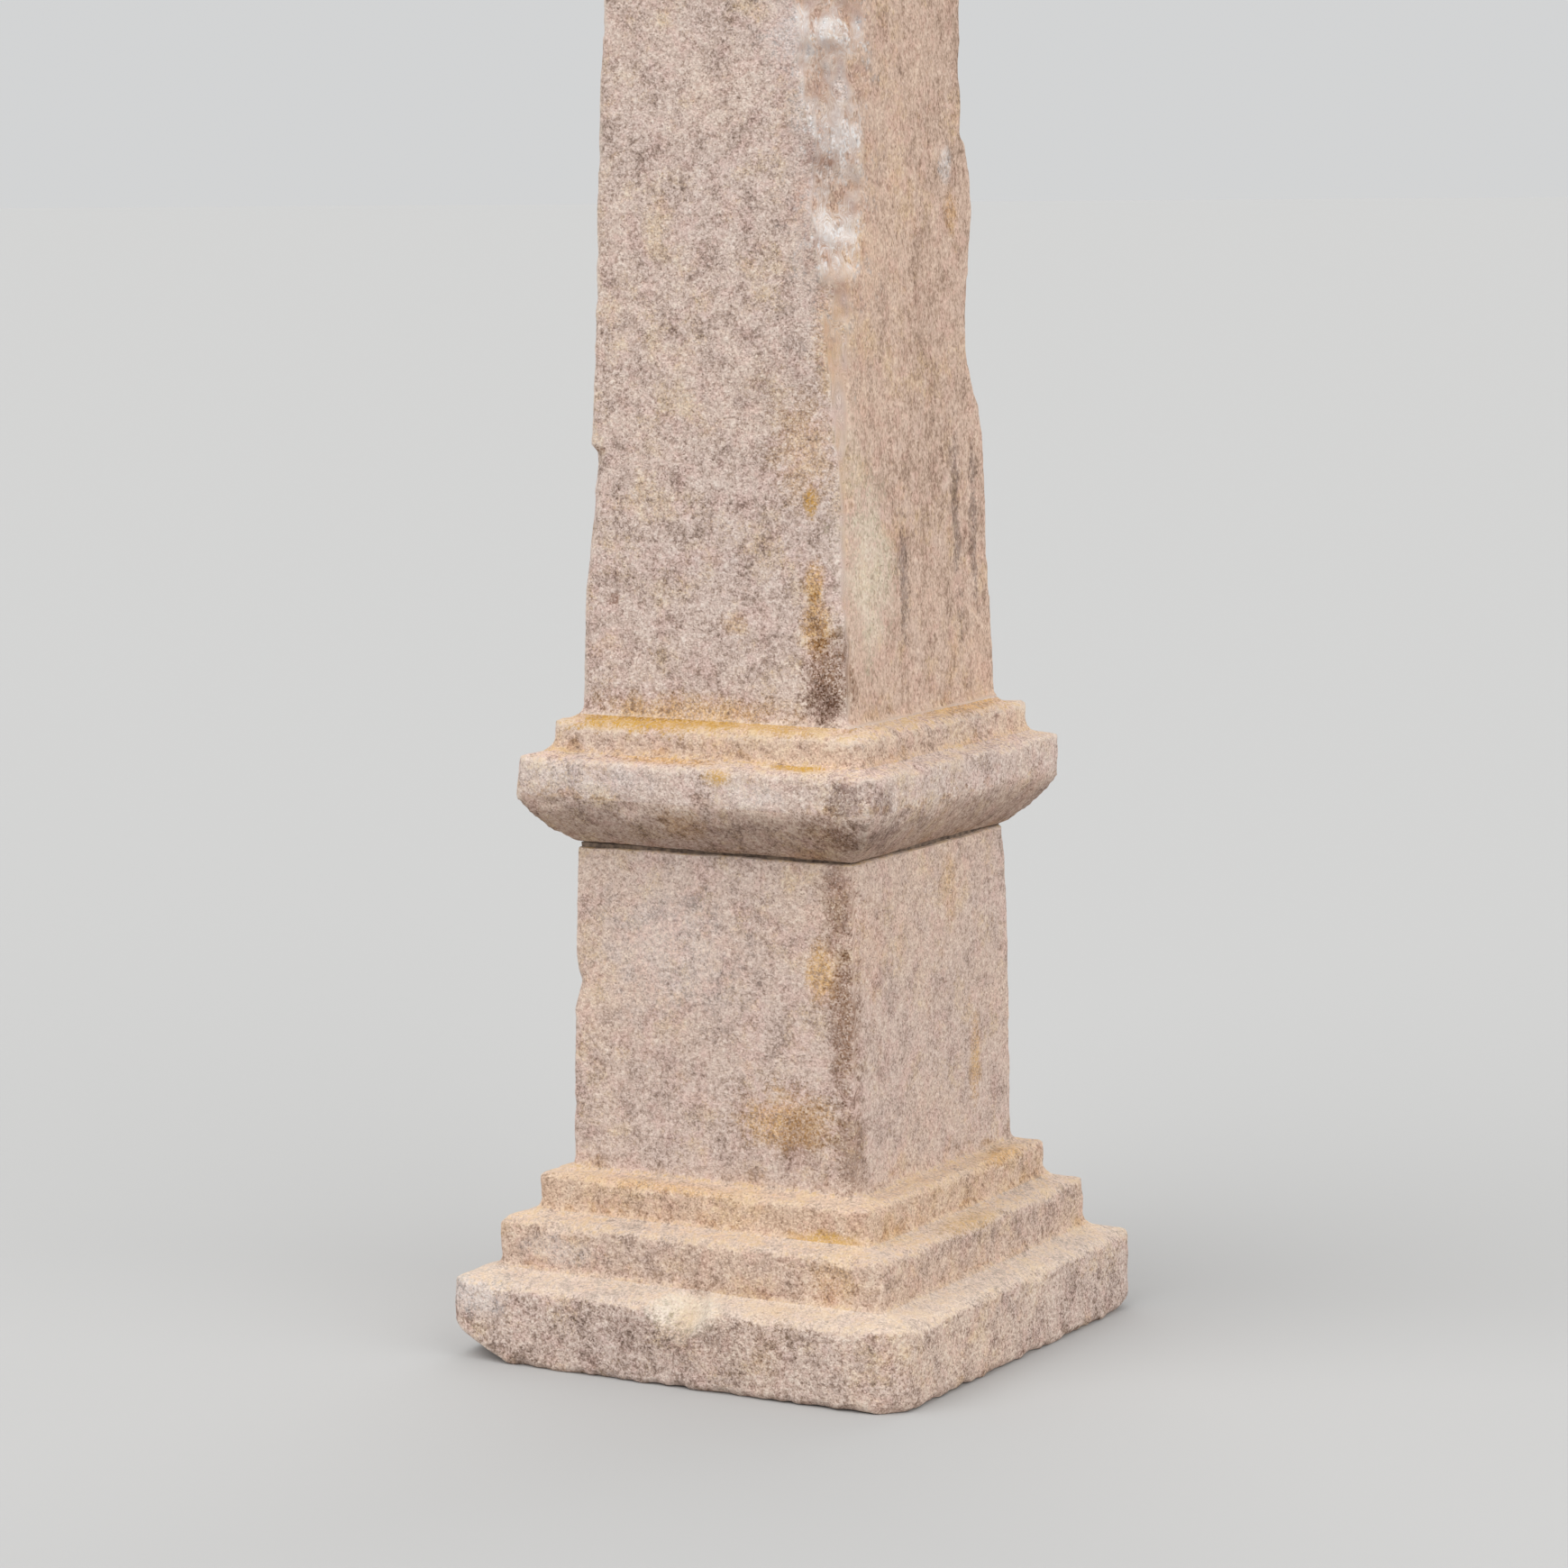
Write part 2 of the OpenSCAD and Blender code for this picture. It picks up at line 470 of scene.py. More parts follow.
def vectorMaths(tree, operation, *values):
    return addNode(tree, "ShaderNodeVectorMath", dict(enumerate(values)), operation=operation).outputs


def times(tree, *values):
    result = values[0]
    for value in values[1:]:
        result = maths(tree, "MULTIPLY", result, value)
    return result


def plus(tree, *values):
    result = values[0]
    for value in values[1:]:
        result = maths(tree, "ADD", result, value)
    return result


# a value's distance either side of a half, made larger or smaller
def swing(tree, value, size):
    return times(tree, maths(tree, "SUBTRACT", value, 0.5), size)


def between(tree, value, low, high):
    links = {"Value": value, "From Min": low, "From Max": high}
    return addNode(tree, "ShaderNodeMapRange", links, interpolation_type="SMOOTHSTEP").outputs[0]


def tint(tree, share, under, over, blend="MIX"):
    node = addNode(tree, "ShaderNodeMix", data_type="RGBA", blend_type=blend, clamp_factor=True)
    for socket, value in zip((node.inputs[0], node.inputs[6], node.inputs[7]), (share, under, over)):
        fillSocket(tree, socket, (*value, 1) if isinstance(value, tuple) else value)
    return node.outputs[2]


def clouds(tree, place, scale, detail=2.0, roughness=0.55):
    links = {"Vector": place, "Scale": scale, "Detail": detail, "Roughness": roughness}
    return addNode(tree, "ShaderNodeTexNoise", links).outputs[0]


def ramp(tree, value, stops):
    node = addNode(tree, "ShaderNodeValToRGB", {0: value})
    while len(node.color_ramp.elements) < len(stops):
        node.color_ramp.elements.new(0.5)
    for element, (place, colour) in zip(node.color_ramp.elements, stops):
        element.position = place
        element.color = (*colour, 1)
    return node.outputs[0]


# a soft patch with a ragged edge, for stains, lichen and scars
def makePatchGroup():
    group, given, gives = makeGroup(
        "raggedPatch",
        [("Place", "NodeSocketVector", None), ("Edge", "NodeSocketFloat", 0.5),
         ("Middle", "NodeSocketVector", None), ("Reach", "NodeSocketVector", (0.01, 0.01, 0.01)),
         ("Ragged", "NodeSocketFloat", 0.6)],
        [("Mask", "NodeSocketFloat")],
    )
    away = vectorMaths(group, "SUBTRACT", given["Place"], given["Middle"])[0]
    share = vectorMaths(group, "DIVIDE", away, given["Reach"])[0]
    length = vectorMaths(group, "LENGTH", share)["Value"]
    shift = swing(group, given["Edge"], times(group, given["Ragged"], 4.0))
    group.links.new(between(group, plus(group, length, shift), 1.05, 0.35), gives["Mask"])
    return group


stoneRamp = [
    (0.0, (0.154, 0.104, 0.081)), (0.25, (0.356, 0.263, 0.218)), (0.42, (0.53, 0.407, 0.35)),
    (0.5, (0.612, 0.48, 0.425)), (0.6, (0.686, 0.552, 0.493)), (0.8, (0.81, 0.692, 0.62)),
    (1.0, (0.89, 0.796, 0.734)),
]
# how many grains, lumps or areas lie along a metre of stone
stoneScales = {"grain": 1500.0, "fleck": 480.0, "blotch": 105.0, "rosy": 90.0, "straw": 47.0, "broad": 13.0}
stoneTints = {
    # the colour is multiplied by these
    "warm": (1.03, 0.93, 0.78),
    "rosy": (1.015, 0.957, 0.965),
    "straw": (1.0, 0.985, 0.88),
    "grey": (0.87, 0.88, 0.93),
    # painted shade: the +X face is made warmer and a little darker
    "rightFace": (1.03, 0.955, 0.86),
    "darkGrain": (0.5, 0.44, 0.4),
    # ochre dirt with painted shade, for inner corners and the feet of members
    "cornerDirtAndShade": (0.88, 0.73, 0.51),
    # painted shade for faces that look down
    "underside": (0.62, 0.57, 0.54),
    # and these are laid over it
    "ochreGrain": (0.8, 0.58, 0.34),
    # paler worn arrises, partly painted highlight
    "wornArrisAndHighlight": (0.78, 0.67, 0.57),
    # paler upward faces: bleaching and painted light from above
    "ledge": (0.84, 0.735, 0.62),
    "crust": (0.7, 0.48, 0.21),
    "crustSpot": (0.5, 0.3, 0.1),
}


def makeStoneGroup():
    group, given, gives = makeGroup(
        "wornSandstone",
        [("Lightness", "NodeSocketFloat", 0.0), ("Warmth", "NodeSocketFloat", 0.3),
         ("Contrast", "NodeSocketFloat", 1.0), ("Strokes And Side Shade", "NodeSocketFloat", 0.0),
         ("Shade", "NodeSocketFloat", 0.0), ("Bleach And Top Light", "NodeSocketFloat", 0.3),
         ("Lichen", "NodeSocketFloat", 0.5), ("Dirt And Shade", "NodeSocketFloat", 0.5),
         ("Foot", "NodeSocketFloat", 0.0), ("Foot Reach", "NodeSocketFloat", 0.004)],
        [("Colour", "NodeSocketColor"), ("Roughness", "NodeSocketFloat"), ("Height", "NodeSocketFloat"),
         ("Edge", "NodeSocketFloat"), ("Speckle", "NodeSocketFloat")],
    )
    place = addNode(group, "ShaderNodeTexCoord").outputs["Object"]
    normal = addNode(group, "ShaderNodeNewGeometry").outputs["Normal"]
    facing = addNode(group, "ShaderNodeSeparateXYZ", {0: normal})
    height = addNode(group, "ShaderNodeSeparateXYZ", {0: place}).outputs["Z"]
    proud = addNode(group, "ShaderNodeAttribute", attribute_name="proud").outputs["Fac"]

    # the face that looks along +X is smoother, with faint upright strokes, and is tinted with painted shade
    sideways = times(group, between(group, facing.outputs["X"], 0.6, 0.85), given["Strokes And Side Shade"])
    long = addNode(group, "ShaderNodeMapping", {"Vector": place, "Scale": (1.0, 1.0, 0.4)}).outputs[0]
    stretched = {0: times(group, sideways, 0.6), 4: place, 5: long}
    drawn = addNode(group, "ShaderNodeMix", stretched, data_type="VECTOR").outputs[1]

    # sand grains, over flecks, blotches and broad changes
    cells = addNode(group, "ShaderNodeTexVoronoi", {"Vector": drawn, "Scale": stoneScales["grain"]})
    grain = addNode(group, "ShaderNodeSeparateColor", {0: cells.outputs["Color"]})
    broad = clouds(group, place, stoneScales["broad"], 2.0)
    blotch = clouds(group, drawn, stoneScales["blotch"], 3.0, 0.62)
    fleck = clouds(group, drawn, stoneScales["fleck"], 3.0, 0.75)
    finer = maths(group, "SUBTRACT", 1.0, times(group, sideways, 0.2))
    fine = plus(group, swing(group, grain.outputs[0], 0.36), swing(group, fleck, 1.15))
    fine = times(group, fine, finer)
    coarse = plus(group, swing(group, blotch, 0.95), swing(group, broad, 0.4))
    coarse = times(group, coarse, maths(group, "SUBTRACT", 1.0, times(group, sideways, 0.25)))
    level = plus(group, times(group, plus(group, fine, coarse), given["Contrast"]), given["Lightness"], 0.5)
    colour = ramp(group, level, stoneRamp)

    # warm, grey and brown areas
    warm = plus(group, times(group, plus(group, broad, blotch), 0.5), given["Warmth"])
    colour = tint(group, between(group, warm, 0.55, 1.05), colour, stoneTints["warm"], "MULTIPLY")
    rosy = clouds(group, place, stoneScales["rosy"], 3.0, 0.75)
    colour = tint(group, between(group, rosy, 0.46, 0.66), colour, stoneTints["rosy"], "MULTIPLY")
    straw = clouds(group, place, stoneScales["straw"], 4.0, 0.75)
    colour = tint(group, between(group, straw, 0.5, 0.7), colour, stoneTints["straw"], "MULTIPLY")
    grey = between(group, blotch, 0.52, 0.66)
    colour = tint(group, times(group, grey, 0.45), colour, stoneTints["grey"], "MULTIPLY")
    # painted shade on the face that looks along +X
    colour = tint(group, sideways, colour, stoneTints["rightFace"], "MULTIPLY")

    # dark grains in clusters, and a few ochre ones
    cluster = between(group, plus(group, broad, swing(group, blotch, 1.1)), 0.44, 0.64)
    darkGrain = between(group, grain.outputs[1], 0.72, 0.86)
    darkGrain = times(group, darkGrain, cluster, 0.4)
    colour = tint(group, darkGrain, colour, stoneTints["darkGrain"], "MULTIPLY")
    ochreGrain = between(group, grain.outputs[2], 0.8, 0.9)
    ochreShare = plus(group, times(group, between(group, straw, 0.48, 0.66), 0.3), 0.05)
    colour = tint(group, times(group, ochreGrain, ochreShare), colour, stoneTints["ochreGrain"])

    # worn arrises are paler, partly wear and partly painted highlight; inner corners and member feet hold
    # ochre dirt with painted shade; undersides get painted shade
    # convex arrises paler: wear and painted highlight
    worn = between(group, plus(group, proud, swing(group, fleck, 1.6)), 0.5, 1.7)
    colour = tint(group, times(group, worn, 0.45), colour, stoneTints["wornArrisAndHighlight"])
    # inner corners and each member's foot: ochre dirt, partly painted shade
    corner = between(group, plus(group, times(group, proud, -1.0), swing(group, fleck, 2.4)), 0.5, 1.8)
    rise = plus(group, maths(group, "SUBTRACT", height, given["Foot"]), swing(group, blotch, 0.03))
    low = between(group, maths(group, "DIVIDE", rise, given["Foot Reach"]), 1.0, 0.0)
    dirtAndShade = times(group, maths(group, "MAXIMUM", corner, times(group, low, 0.7)), given["Dirt And Shade"])
    dirtAndShade = times(group, dirtAndShade, plus(group, times(group, between(group, straw, 0.4, 0.62), 0.75), 0.25))
    colour = tint(group, dirtAndShade, colour, stoneTints["cornerDirtAndShade"], "MULTIPLY")
    # painted shade: faces that look down are darkened
    under = times(group, between(group, facing.outputs["Z"], -0.2, -0.7), given["Shade"])
    colour = tint(group, under, colour, stoneTints["underside"], "MULTIPLY")

    # ledges: bleached and painted paler as if lit from above, with lichen
    upward = between(group, plus(group, facing.outputs["Z"], swing(group, fleck, 0.8)), 0.15, 0.95)
    colour = tint(group, times(group, upward, given["Bleach And Top Light"]), colour, stoneTints["ledge"])
    patches = between(group, plus(group, blotch, swing(group, fleck, 1.2)), 0.47, 0.66)
    crust = times(group, patches, upward, given["Lichen"])
    colour = tint(group, crust, colour, stoneTints["crust"])
    crustSpots = times(group, crust, between(group, fleck, 0.5, 0.66))
    colour = tint(group, crustSpots, colour, stoneTints["crustSpot"])

    group.links.new(colour, gives["Colour"])
    rough = addNode(group, "ShaderNodeMapRange", {"Value": level, "To Min": 0.98, "To Max": 0.85})
    group.links.new(rough.outputs[0], gives["Roughness"])
    relief = plus(group, times(group, fleck, 1.2), times(group, grain.outputs[0], 0.25))
    group.links.new(relief, gives["Height"])
    ragged = plus(group, times(group, blotch, 0.3), times(group, rosy, 0.3), times(group, fleck, 0.4))
    group.links.new(ragged, gives["Edge"])
    speckle = plus(group, times(group, fleck, 0.6), times(group, grain.outputs[1], 0.4))
    speckle = between(group, speckle, 0.36, 0.62)
    group.links.new(plus(group, times(group, speckle, 0.65), 0.35), gives["Speckle"])
    return group


groups = {"patch": makePatchGroup(), "stone": makeStoneGroup()}
finishValues = {"shine": 0.2, "grainStrength": 0.9, "grainDepth": 1.0}


def makeStone(name, values, patches=()):
    material = bpy.data.materials.new(name)
    material.use_nodes = True
    tree = material.node_tree
    shader = tree.nodes["Principled BSDF"]
    shader.inputs["Specular IOR Level"].default_value = finishValues["shine"]
    surface = addNode(tree, "ShaderNodeGroup", values, node_tree=groups["stone"])
    colour = surface.outputs["Colour"]
    place = addNode(tree, "ShaderNodeTexCoord").outputs["Object"]
    for at, reach, stain, strength, ragged in patches:
        links = {"Place": place, "Edge": surface.outputs["Edge"], "Middle": at,
                 "Reach": [part * mm for part in reach], "Ragged": ragged}
        mask = addNode(tree, "ShaderNodeGroup", links, node_tree=groups["patch"]).outputs[0]
        blend, shade = stainColours[stain]
        colour = tint(tree, times(tree, mask, surface.outputs["Speckle"], strength), colour, shade, blend)
    tree.links.new(colour, shader.inputs["Base Color"])
    tree.links.new(surface.outputs["Roughness"], shader.inputs["Roughness"])
    relief = {"Strength": finishValues["grainStrength"], "Distance": finishValues["grainDepth"] * mm,
              "Height": surface.outputs["Height"]}
    tree.links.new(addNode(tree, "ShaderNodeBump", relief).outputs[0], shader.inputs["Normal"])
    return material


stainColours = {
    "brown": ("MULTIPLY", (0.42, 0.3, 0.21)),
    "grime": ("MULTIPLY", (0.42, 0.36, 0.34)),
    "grey": ("MULTIPLY", (0.55, 0.55, 0.57)),
    "straw": ("MULTIPLY", (1.0, 0.82, 0.5)),
    "pink": ("MULTIPLY", (1.0, 0.87, 0.82)),
    "lichen": ("MIX", (0.6, 0.35, 0.08)),
    "pale": ("SCREEN", (0.5, 0.53, 0.55)),
    "cream": ("SCREEN", (0.34, 0.32, 0.22)),
}

# In the pieces' values, "corners" are the radii of the upright arrises, "fill" the size of the fill in
# the corner at the foot, "topWear" and "footWear" the wear of the level arrises, "arrisWear" that of the
# upright ones, and "losses" pairs of a height and a depth that are broken off one arris, all in
# millimetres. "seeds" set where the wear and the chips fall. A patch is its place, its half sizes, its
# stain, its strength and how ragged its edge is.

plinthValues = {
    "rise": 4,                # of the sloping ledge
    "corners": {"left": 9, "near": 17, "right": 8, "far": 9},
    "topWear": {"wear": (0.9, 1.6), "chips": 6, "chipDepth": (1.5, 3.2), "chipLength": (12, 34)},
    "footWear": {"wear": (0.6, 2.4), "chips": 6},
    "seeds": {"top": 110, "foot": 100},
    # each corner's depth of wear at the foot, the height where that ends, and the depth above it
    "wornFoot": {"left": (21, 26, 1.2), "near": (3.5, 10, 7), "right": (11, 15, 1), "far": (9, 11, 0.8)},
    "chipMiddle": 6,          # of the chip in the front arris, from the middle of the face
    "chip": [(-17, 0), (-8, 6), (0, 11), (7, 6), (14, 0)],
    "stone": {"Warmth": 0.2, "Contrast": 1.15, "Bleach And Top Light": 0.38, "Lichen": 0.2, "Dirt And Shade": 0.4,
              "Foot Reach": 3 * mm},
    "patches": [
        (onFace("plinth_slab", "front", 6, 32), (19, 20, 12), "cream", 1.7, 0.35),
        (onFace("plinth_slab", "front", 6, 28), (7, 16, 7), "straw", 0.45, 0.6),
        (onFace("plinth_slab", "front", -16, 23), (12, 8, 6), "grime", 0.5, 0.8),
        (onFace("plinth_slab", "front", 24, 22), (12, 8, 7), "grime", 0.45, 0.8),
        (onFace("plinth_slab", "front", 0, 12), (90, 12, 14), "grime", 0.2, 0.8),
        (onFace("plinth_slab", "front", 45, 17) + Vector((0, 8 * mm, 0)), (14, 10, 26), "straw", 0.5, 0.8),
        (onFace("plinth_slab", "front", -88, 26), (16, 20, 8), "pale", 0.5, 1.0),
    ],
}

middleStepValues = {
    "rise": 3,
    "corners": {"left": 3, "near": 4.5, "right": 2, "far": 3},
    "fill": 2.2,
    "topWear": {"wear": (0.7, 1.4), "chips": 5, "chipDepth": (1.4, 2.8), "chipLength": (10, 30)},
    "arrisWear": {},
    "seeds": {"top": 120, "arris": 170},
    "stone": {"Warmth": 0.3, "Bleach And Top Light": 0.3, "Lichen": 0.3, "Dirt And Shade": 0.7, "Foot": footOf("middle_step"),
              "Foot Reach": 3 * mm},
    "patches": [
        (onFace("middle_step", "front", -58, 8), (20, 10, 7), "pale", 0.35, 1.0),
        (onFace("middle_step", "front", 26, 1), (30, 10, 4), "brown", 0.45, 0.7),
        (onFace("middle_step", "front", 66, 8), (14, 12, 12), "straw", 0.5, 0.9),
        (onFace("middle_step", "right", -10, 20), (12, 30, 4), "lichen", 0.5, 0.9),
    ],
}

upperStepValues = {
    "rise": 2,
    "corners": {"left": 3, "near": 6, "right": 4, "far": 4},
    "fill": 2.0,
    "topWear": {"wear": (0.7, 1.4), "chips": 5, "chipDepth": (1.4, 2.8), "chipLength": (10, 30)},
    "arrisWear": {},
    "seeds": {"top": 130, "arris": 180},
    "stone": {"Lightness": 0.04, "Warmth": 0.5, "Bleach And Top Light": 0.25, "Lichen": 0.3, "Dirt And Shade": 0.8,
              "Foot": footOf("upper_step"), "Foot Reach": 3 * mm},
    "patches": [
        (onFace("upper_step", "front", 56, 1), (18, 10, 4), "lichen", 0.8, 0.8),
        (onFace("upper_step", "front", -20, 14), (50, 8, 3), "straw", 0.7, 0.9),
        (onFace("upper_step", "right", 40, 14), (10, 26, 4), "straw", 0.9, 0.9),
    ],
}

dieValues = {
    "corners": {"left": 1.5, "near": 4, "right": 3, "far": 3},
    "fill": 1.8,
    "jointGap": 1.1,          # how far the die rises into the joint
    "mortarSetBack": 2,       # how far the mortar lies back from the die's faces
    "topWear": {"wear": (0.0, 0.7), "chips": 3, "chipDepth": (0.8, 1.8)},
    "arrisWear": {"wear": (0.3, 1.4), "chips": 4},
    "seeds": {"top": 140, "arris": 160},
    "losses": {
        "left": [(0, 2), (8, 1), (58, 1), (66, 3), (74, 6), (80, 4), (88, 2), (96, 1)],
        "right": [(0, 1), (84, 1), (108, 2), (120, 4.5), (128, 5)],
    },
    "stone": {"Lightness": 0.035, "Warmth": 0.22, "Contrast": 0.87, "Strokes And Side Shade": 0.1, "Dirt And Shade": 0.8,
              "Foot": footOf("die_block"), "Foot Reach": 5 * mm},
    "patches": [
        (onFace("die_block", "front", 57, 112), (10, 12, 26), "brown", 0.7, 0.8),
        (onFace("die_block", "front", 59, 66), (8, 12, 44), "brown", 0.9, 0.7),
        (onFace("die_block", "front", 61, 22), (9, 12, 30), "brown", 0.6, 0.9),
        (onFace("die_block", "front", 49, 86), (10, 12, 15), "straw", 1.1, 0.7),
        (onFace("die_block", "front", 34, 28), (26, 12, 15), "straw", 1.0, 1.0),
        (onFace("die_block", "front", 40, 22), (14, 12, 20), "brown", 0.55, 1.0),
        (onFace("die_block", "front", -20, 90), (34, 12, 30), "pale", 0.25, 1.1),
        (onFace("die_block", "right", 33, 38), (12, 6, 24), "straw", 0.8, 0.8),
        (onFace("die_block", "right", 14, 110), (12, 8, 20), "straw", 0.4, 0.9),
        (onFace("die_block", "right", -50, 90), (12, 12, 30), "pink", 0.5, 0.8),
    ],
}

dieTopHalf = halfOf("mortar_joint") + dieValues["mortarSetBack"] * mm

lowerStoneValues = {
    "voxel": 1.15,            # the size of the mesh's cells
    "soften": 3,              # rounds of smoothing
    # each roughening: the size of its lumps, its depth, its octaves, and what stays unmoved
    "roughening": [(70, 1.6, 1, 0.62), (15, 0.9, 2, 0.55), (4.5, 0.55, 1, 0.5)],
}


def splitLine(pairs):
    spots, depths = zip(*pairs)
    return np.array(spots, dtype=float), np.array(depths, dtype=float)


# the wear of a corner that is rounded off towards the ground
def footLine(deep, height, least):
    spots = np.arange(0, height + 1.0)
    return spots, least + deep * (1 - spots / height) ** 2.5


def wearUprights(places, node, values, **how):
    for number, side in enumerate(sides):
        low, high = uprightArris(node, side)
        lines = []
        if "arrisWear" in values:
            seed = values["seeds"]["arris"] + number
            lines.append(wornLine(seed, (high - low).length / mm, **values["arrisWear"]))
        if side in values.get("losses", {}):
            lines.append(splitLine(values["losses"][side]))
        if "wornFoot" in values:
            lines.append(footLine(*values["wornFoot"][side]))
        wearArris(places, low, high, Vector((*sides[side], 0)), lines, **how)


# round the whole stone a little, then give it its lumps, hollows and grains
def weather(stone, places, values):
    writePlaces(stone, places)
    applyModifier(stone, "SMOOTH", factor=0.5, iterations=values["soften"])
    for size, depth, octaves, middle in values["roughening"]:
        roughen(stone, size, depth, octaves, middle)


def keepInside(stone):
    places = np.clip(readPlaces(stone), [cadLow.x, cadLow.y, 0], cadHigh)
    writePlaces(stone, places)


# plinth, steps and die are carved from one block
def makeLowerStone(values):
    plinthTop = headOf("plinth_slab") - plinthValues["rise"] * mm
    plinth = squareBlock(halfOf("plinth_slab"), 0, plinthTop)
    slopeTop(plinth, plinthValues["rise"] * mm, halfOf("plinth_slab"), halfOf("middle_step"))
    roundCorners(plinth, plinthValues["corners"])
    dieTop = headOf("die_block") + dieValues["jointGap"] * mm
    die = squareBlock(halfOf("die_block"), footOf("die_block") - 2 * mm, dieTop, dieTopHalf)
    roundCorners(die, dieValues["corners"])
    blocks = [plinth, die, footFill("die_block", dieValues["fill"])]
    blocks += memberBlocks("middle_step", "upper_step", middleStepValues)
    blocks += memberBlocks("upper_step", "die_block", upperStepValues)
    stone = joinBlocks("lowerStone", blocks)
    applyModifier(stone, "REMESH", mode="VOXEL", voxel_size=values["voxel"] * mm, use_smooth_shade=True)

    places = readPlaces(stone)
    wearLevel(places, "plinth_slab", 0, plinthValues, "foot", tilt=-1)
    wearLevel(places, "plinth_slab", plinthTop, plinthValues)
    wearLevel(places, "die_block", dieTop, dieValues)
    wearUprights(places, "plinth_slab", plinthValues, reach=34, lumpy=0.8)
    wearUprights(places, "die_block", dieValues, lumpy=0.8, skip=3)
    for node, step in (("middle_step", middleStepValues), ("upper_step", upperStepValues)):
        wearLevel(places, node, headOf(node) - step["rise"] * mm, step)
        wearUprights(places, node, step, reach=10, skip=3.5)
    start, end, out = levelArrises("plinth_slab", plinthTop)[0]
    chipSpots, chipDepths = splitLine(plinthValues["chip"])
    chipSpots += halfOf("plinth_slab") / mm + plinthValues["chipMiddle"]
    wearArris(places, start, end, out + Vector((0, 0, 1)), [(chipSpots, chipDepths)], reach=15, lumpy=1.0)
    weather(stone, places, values)
    keepInside(stone)
    markProud(stone)
    return stone


print("camera, floor and lamps")
setCamera(cameraValues)
setRoom(roomValues)
setLamps(lampValues)
bpy.context.scene.view_settings.view_transform = "Standard"

print("lower stone")
lowerStone = makeLowerStone(lowerStoneValues)
piece = sawOut(lowerStone, "plinthSlab", top=headOf("plinth_slab"))
finishStone(piece, "plinth_slab", plinthValues)
piece = sawOut(lowerStone, "middleStep", headOf("plinth_slab"), headOf("middle_step"))
finishStone(piece, "middle_step", middleStepValues)
piece = sawOut(lowerStone, "upperStep", headOf("middle_step"), headOf("upper_step"))
finishStone(piece, "upper_step", upperStepValues)
piece = sawOut(lowerStone, "dieBlock", headOf("upper_step"))
finishStone(piece, "die_block", dieValues)
bpy.data.objects.remove(lowerStone)

mortarValues = {
    "cuts": 40,               # how finely its faces are divided
    "lump": 6,                # the size of its lumps, and how deep they go
    "depth": 0.8,
    "grains": 400.0,          # in a metre
    "dark": (0.07, 0.05, 0.04),
    "light": (0.3, 0.22, 0.16),
    "roughness": 0.95,
}


def makeMortarJoint(values):
    node = "mortar_joint"
    piece = squareBlock(halfOf(node), footOf(node), headOf(node))
    piece.name = "mortarJoint"
    openMesh(piece, "EDGE")
    bpy.ops.mesh.select_all(action="SELECT")
    bpy.ops.mesh.subdivide(number_cuts=values["cuts"])
    closeMesh()
    roughen(piece, values["lump"], values["depth"], middle=0.9)
    places = readPlaces(piece)
    places[:, 2] = np.clip(places[:, 2], footOf(node), headOf(node))
    writePlaces(piece, places)
    mortar = bpy.data.materials.new("oldMortar")
    mortar.use_nodes = True
    tree = mortar.node_tree
    shader = tree.nodes["Principled BSDF"]
    place = addNode(tree, "ShaderNodeTexCoord").outputs["Object"]
    grains = clouds(tree, place, values["grains"], 3.0)
    colour = ramp(tree, grains, [(0.3, values["dark"]), (0.7, values["light"])])
    tree.links.new(colour, shader.inputs["Base Color"])
    shader.inputs["Roughness"].default_value = values["roughness"]
    finishPiece(piece, node, mortar)


print("mortar joint")
makeMortarJoint(mortarValues)

mouldingValues = {
    "bulge": 2,               # how far the curve stands out from a straight slope
    "steps": 8,               # straight lengths that the curve is made of
    "jointGap": 0.5,          # how far the moulding reaches down into the joint
    # its downward faces get painted shade
    "stone": {"Lightness": 0.03, "Warmth": 0.25, "Dirt And Shade": 0.6, "Shade": 0.85, "Lichen": 0.0,
              "Foot": footOf("cap_moulding"), "Foot Reach": 4 * mm},
    "patches": [
        (onFace("cap_moulding", "front", 60, 8), (17, 16, 14), "brown", 0.8, 1.0),
        (onFace("cap_moulding", "right", -60, 8), (16, 20, 12), "grime", 0.6, 1.0),
        (onFace("cap_moulding", "front", 8, 9), (30, 14, 9), "grime", 0.35, 1.0),
        (onFace("cap_moulding", "front", -6, 8), (14, 14, 12), "straw", 0.7, 0.9),
    ],
}

capSlabValues = {
    "rise": 2,
    "corners": {"left": 2, "near": 2.5, "right": 4, "far": 3},
    "topWear": {"wear": (0.4, 1.0), "chips": 5, "chipDepth": (1.2, 2.6)},
    "footWear": {"wear": (0.0, 0.2), "chips": 2, "chipDepth": (0.8, 1.4)},
    "arrisWear": {"wear": (0.5, 1.6)},
    "seeds": {"top": 210, "foot": 220, "arris": 280},
    "stone": {"Lightness": 0.06, "Warmth": 0.15, "Bleach And Top Light": 0.0, "Lichen": 0.25, "Dirt And Shade": 0.7,
              "Foot": footOf("cap_slab"), "Foot Reach": 1 * mm},
    "patches": [
        (onFace("cap_slab", "front", 69, 5), (9, 10, 13), "grime", 0.8, 0.8),
        (onFace("cap_slab", "right", -68, 3), (10, 13, 10), "grime", 0.6, 1.0),
        (onFace("cap_slab", "front", -45, 9), (36, 10, 7), "pale", 0.3, 0.9),
        (onFace("cap_slab", "front", 28, 6), (16, 10, 6), "pale", 0.35, 0.9),
        (onFace("cap_slab", "front", 46, 17) + Vector((0, 9 * mm, 0)), (16, 8, 5), "lichen", 1.4, 0.7),
        (onFace("cap_slab", "front", -15, 17) + Vector((0, 8 * mm, 0)), (30, 8, 4), "straw", 1.2, 0.9),
        (onFace("cap_slab", "front", 13, 12), (7, 5, 5), "lichen", 0.8, 0.6),
    ],
}

